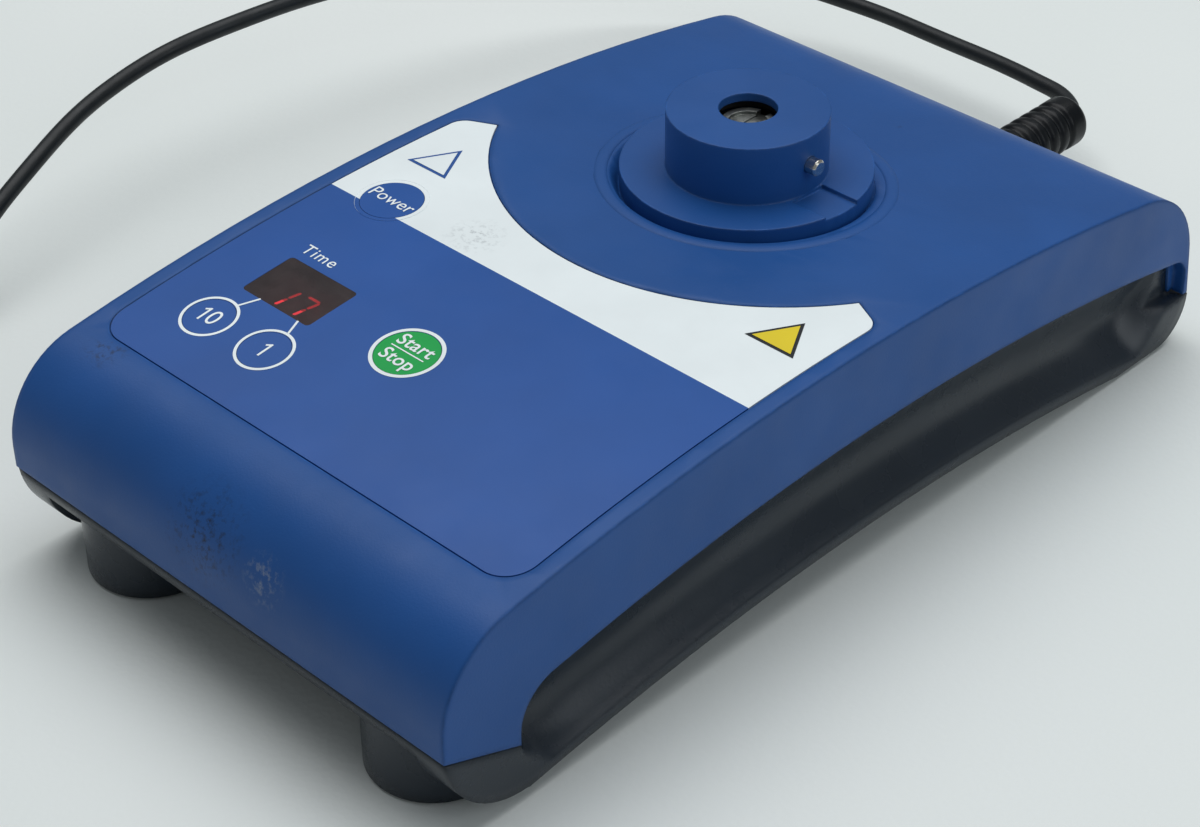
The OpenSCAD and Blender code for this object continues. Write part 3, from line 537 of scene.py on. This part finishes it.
triangle_y = band_y + 13.8 * MM
triangle("left_triangle", foil_lo[0] + 8.4 * MM, triangle_y, 9.3 * MM, 8.5 * MM, ink_blue, ink_white)
triangle("right_triangle", foil_hi[0] - 8.2 * MM, triangle_y, 9.8 * MM, 8.6 * MM, ink_dark, ink_yellow)


# ---------------------------------------------------------------- red digits under the window
def digits():
    """Two slanted seven-segment digits, 1 and 7, on top of the display block."""
    w, h, thick, slant = 2.9 * MM, 5.2 * MM, 0.6 * MM, 0.14
    below_skin = 2.35 * MM
    z = top_z(window_at[0], window_at[1]) - below_skin
    c = (window_at[0] - 1.6 * MM, window_at[1] - 0.6 * MM)
    top = ((-w / 2, h / 2), (w / 2, h / 2))
    upper_right, lower_right = ((w / 2, h / 2), (w / 2, 0)), ((w / 2, 0), (w / 2, -h / 2))
    inset, point = 0.55 * thick, 0.45 * thick
    verts, faces = [], []
    for dx, bars in ((-2.4 * MM, (upper_right, lower_right)), (2.1 * MM, (top, upper_right, lower_right))):
        for (x0, y0), (x1, y1) in bars:
            d = Vector((x1 - x0, y1 - y0)).normalized()
            n = Vector((-d.y, d.x)) * thick / 2
            a, b = Vector((x0, y0)) + d * inset, Vector((x1, y1)) - d * inset
            outline = [a - d * point, a + n, b + n, b + d * point, b - n, a - n]
            base = len(verts)
            verts += [(c[0] + dx + p.x + slant * p.y, c[1] + p.y, z) for p in outline]
            faces.append(tuple(range(base, base + len(outline))))
    mesh = bpy.data.meshes.new("display_digits")
    mesh.from_pydata(verts, [], faces)
    lit = glow("digit_red", (0.85, 0.06, 0.10), 2.2)
    new_object("display_digits", mesh, lit, "housing")


digits()

# ---------------------------------------------------------------- housings and collar
DISH_R, DISH_DEPTH = 40 * MM, 0.7 * MM
# The dish's slope runs from outside its edge to inside it, and stays short where the foil is
SLOPE_OUT, SLOPE_OUT_AT_FOIL, SLOPE_IN = 3.4 * MM, 1.0 * MM, 6.0 * MM
FOIL_BACK_Y, FOIL_HALF_W = -4 * MM, 40 * MM
# Points this near the dish's edge, and this far below the arch, are its upper and lower rim
RIM_NEAR, UPPER_RIM, LOWER_RIM = 0.12 * MM, 0.35 * MM, 1.2 * MM
COVER_INSIDE_Z = -25 * MM
SEAT_R, SEAT_FLOOR_Z = 21.8 * MM, collar_hi[2] - 14.52 * MM
SEAT_SLOPE, SEAT_WALL, SEAT_CLEAR = 2.2 * MM, 3.6 * MM, 0.02 * MM
ROUND_STEPS = 144
BESIDE_FOIL_X = 48.5 * MM


def arch_z(y):
    """Height of the top arch, read beside the foil and the dish."""
    return top_z(BESIDE_FOIL_X, y)


def soften_dish(bm):
    """Turns the dish's step into a long shallow slope."""
    for v in bm.verts:
        r = math.hypot(v.co.x, v.co.y)
        if abs(r - DISH_R) > RIM_NEAR or v.co.z < COVER_INSIDE_Z:
            continue
        below = arch_z(v.co.y) - v.co.z
        if below < UPPER_RIM:
            at_foil = v.co.y < FOIL_BACK_Y and abs(v.co.x) < FOIL_HALF_W
            reach, drop = SLOPE_OUT_AT_FOIL if at_foil else SLOPE_OUT, 0.0
        elif below < LOWER_RIM:
            reach, drop = -SLOPE_IN, DISH_DEPTH
        else:
            continue
        k = (r + reach) / r
        v.co.x, v.co.y = v.co.x * k, v.co.y * k
        v.co.z = arch_z(v.co.y) - drop


def taper_seat(mesh):
    """The cover's mesh with the upright wall round the collar's flange cut back to a slope."""
    bm = bmesh.new()
    bmesh.ops.create_cone(bm, cap_ends=True, segments=ROUND_STEPS, radius1=SEAT_R,
                          radius2=SEAT_R + SEAT_SLOPE, depth=SEAT_WALL)
    bmesh.ops.translate(bm, verts=bm.verts, vec=(0, 0, SEAT_FLOOR_Z + SEAT_WALL / 2 + SEAT_CLEAR))
    cone = bpy.data.meshes.new("seat_cone")
    bm.to_mesh(cone)
    bm.free()
    whole, tool = bpy.data.objects.new("whole", mesh), bpy.data.objects.new("tool", cone)
    for obj in (whole, tool):
        bpy.context.scene.collection.objects.link(obj)
    cut = whole.modifiers.new("cut", "BOOLEAN")
    cut.operation, cut.solver, cut.object = "DIFFERENCE", "EXACT", tool
    done = bpy.data.meshes.new_from_object(whole.evaluated_get(bpy.context.evaluated_depsgraph_get()))
    for obj in (whole, tool):
        bpy.data.objects.remove(obj)
    return done


def seat_lip():
    """Soft shoulder round the seat: the profile is (radius, height above the dish) in mm."""
    profile = [(23.5, -0.5), (23.45, -0.05), (23.7, 0.05), (24.0, 0.12), (24.4, 0.15), (24.9, 0.12),
               (25.5, 0.05), (26.1, -0.02), (26.2, -0.5)]
    bm = bmesh.new()
    rows = []
    for i in range(ROUND_STEPS):
        a = 2 * math.pi * i / ROUND_STEPS
        row = []
        for r, h in profile:
            x, y = r * MM * math.cos(a), r * MM * math.sin(a)
            row.append(bm.verts.new((x, y, arch_z(y) - DISH_DEPTH + h * MM)))
        rows.append(row)
    for i in range(ROUND_STEPS):
        a, b = rows[i], rows[(i + 1) % ROUND_STEPS]
        for j in range(len(profile)):
            k = (j + 1) % len(profile)
            bm.faces.new((a[j], b[j], b[k], a[k]))
    bmesh.ops.recalc_face_normals(bm, faces=bm.faces)
    mesh = bpy.data.meshes.new("seat_lip")
    bm.to_mesh(mesh)
    bm.free()
    new_object("seat_lip", mesh, blue_plastic, "housing", 50)


rounded_copy("top_cover", "cover_shell", blue_plastic, "housing", 1.0 * MM,
             shape=soften_dish, cut=taper_seat)
seat_lip()
rounded_copy("base_tray", "tray_shell", tray_grey, "housing", 0.9 * MM)
rounded_copy("tube_collar", "collar_shell", collar_blue, "housing", 0.35 * MM, 45)

# ---------------------------------------------------------------- strain relief and cable
boot_at = centre("strain_relief")
boot_y0, boot_y1 = boot_lo[1], boot_hi[1]
boot_r = (boot_hi[0] - boot_lo[0]) / 2 + 0.25 * MM
LEAD_R = 1.65 * MM


def boot_profile():
    """Smooth root, five rounded ribs and a domed end, from the housing outwards."""
    root, pitch, ribs, groove, rib_steps = 15.5 * MM, 3.1 * MM, 5, 0.6 * MM, 80
    bore, chamfer = 2.9 * MM, 0.3 * MM
    pts = [(bore, 0.0), (boot_r - chamfer, 0.0), (boot_r, 0.4 * MM), (boot_r, root - 0.5 * MM)]
    ribs_end = root + ribs * pitch
    for i in range(rib_steps + 1):
        s = root + (ribs_end - root) * i / rib_steps
        wave = 0.5 - 0.5 * math.cos(2 * math.pi * (s - root) / pitch)
        # The power keeps the ribs broad and the grooves narrow
        pts.append((boot_r - groove * wave ** 2.5, s))
    length = boot_y1 - boot_y0
    edge, dome, dome_steps = 1.9 * MM, 0.6 * MM, 9
    for i in range(dome_steps + 1):
        a = math.pi / 2 * i / dome_steps
        pts.append((boot_r - edge + edge * math.cos(a), length - edge - dome + edge * math.sin(a)))
    pts.append((LEAD_R + 0.1 * MM, length))
    return pts


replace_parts(lathe("cable_boot", boot_profile(), boot_black, "lead",
                  (boot_at[0], boot_y0, boot_at[2])), "strain_relief")


def cable():
    """The lead as it lies: level out of the boot, rising over its own stiffness, then down to the bench."""
    lead_z = boot_at[2]
    left, rear, front = cable_lo[0], cable_hi[1], cable_lo[1]
    path = [(0, boot_y1 - 3 * MM, lead_z), (-0.7 * MM, boot_y1 + 1.0 * MM, lead_z),
            (-5 * MM, rear - 5.0 * MM, lead_z), (-14 * MM, rear - LEAD_R - 1.3 * MM, lead_z),
            (-39 * MM, rear - LEAD_R - 0.4 * MM, lead_z + 0.1 * MM),
            (-60 * MM, rear - 3 * MM, lead_z + 0.6 * MM),
            (-82 * MM, rear - 11 * MM, lead_z + 3 * MM), (-101 * MM, rear - 26 * MM, lead_z + 6 * MM),
            (left + 14 * MM, rear - 48 * MM, lead_z + 9.5 * MM),
            (left + 6 * MM, rear - 74 * MM, lead_z + 12.5 * MM),
            (left + 0.5 * MM, rear - 114 * MM, lead_z + 14.6 * MM),
            (left - 2 * MM, rear - 141 * MM, lead_z + 11.6 * MM),
            (left + 5 * MM, rear - 170 * MM, lead_z + 6 * MM),
            (left + 12 * MM, front + 18 * MM, lead_z - 2 * MM),
            (left + 22 * MM, front + 4 * MM, BENCH_Z + LEAD_R)]
    curve = bpy.data.curves.new("power_lead", "CURVE")
    curve.dimensions = "3D"
    curve.bevel_depth = LEAD_R
    curve.bevel_resolution = 6
    curve.resolution_u = 16
    curve.use_fill_caps = True
    spline = curve.splines.new("BEZIER")
    spline.bezier_points.add(len(path) - 1)
    for bp, p in zip(spline.bezier_points, path):
        bp.co = p
        bp.handle_left_type = bp.handle_right_type = "AUTO"
    curve.materials.append(lead_black)
    obj = bpy.data.objects.new("power_lead", curve)
    bpy.context.scene.collection.objects.link(obj)
    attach(obj, "lead")
    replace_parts(obj, "power_cable")


cable()


# ---------------------------------------------------------------- floor, light, camera
def floor():
    """A plain pale bench top with a faint grain."""
    half_side = 2.5
    bm = bmesh.new()
    bmesh.ops.create_grid(bm, x_segments=2, y_segments=2, size=half_side)
    mesh = bpy.data.meshes.new("floor")
    bm.to_mesh(mesh)
    bm.free()
    s = Shader("bench")
    tone = s.mix(s.ramp(s.noise(6, 3), 0.35, 0.7), (0.79, 0.83, 0.81), (0.84, 0.87, 0.85))
    s.surface(tone, 0.55, spec=0.3)
    weave = s.node("ShaderNodeTexVoronoi")
    weave.inputs["Scale"].default_value = 900
    s.link(s.coord, weave.inputs["Vector"])
    s.bump(weave.outputs["Distance"], 0.12, 0.0003)
    mesh.materials.append(s.mat)
    obj = bpy.data.objects.new("floor", mesh)
    obj.location.z = BENCH_Z
    bpy.context.scene.collection.objects.link(obj)


floor()


def area(name, at, size, power_w, colour):
    """A soft rectangular light aimed at the spindle."""
    light = bpy.data.lights.new(name, "AREA")
    light.shape = "RECTANGLE"
    light.size, light.size_y = size
    light.energy = power_w
    light.color = colour
    obj = bpy.data.objects.new(name, light)
    obj.location = at
    obj.rotation_euler = (-Vector(at)).to_track_quat("-Z", "Y").to_euler()
    bpy.context.scene.collection.objects.link(obj)


area("overhead", (-0.22, 0.24, 1.1), (1.4, 1.1), 12.0, (0.98, 0.99, 1.0))
area("side_fill", (0.9, 0.1, 0.5), (0.5, 0.7), 1.8, (0.90, 0.96, 1.0))

world = bpy.data.worlds.new("world")
world.use_nodes = True
sky = world.node_tree.nodes["Background"]
sky.inputs["Color"].default_value = (0.86, 0.92, 0.96, 1)
sky.inputs["Strength"].default_value = 0.24
bpy.context.scene.world = world
bpy.context.scene.view_settings.view_transform = "Standard"

cam = bpy.data.cameras.new("camera")
cam.lens, cam.sensor_width, cam.sensor_fit = 79.3, 36.0, "HORIZONTAL"
cam.clip_start = 0.01
camera = bpy.data.objects.new("camera", cam)
# Seen from the front right: degrees round Z, down from level, and of roll
AZIMUTH, DOWN, ROLL = 44.56, 35.75, -0.52
CAMERA_AT = (0.2537, -0.2935, 0.2162)
turn = (Matrix.Rotation(math.radians(AZIMUTH), 4, "Z") @ Matrix.Rotation(math.radians(90 - DOWN), 4, "X")
        @ Matrix.Rotation(math.radians(ROLL), 4, "Z"))
camera.matrix_world = Matrix.Translation(CAMERA_AT) @ turn
bpy.context.scene.collection.objects.link(camera)
bpy.context.scene.camera = camera
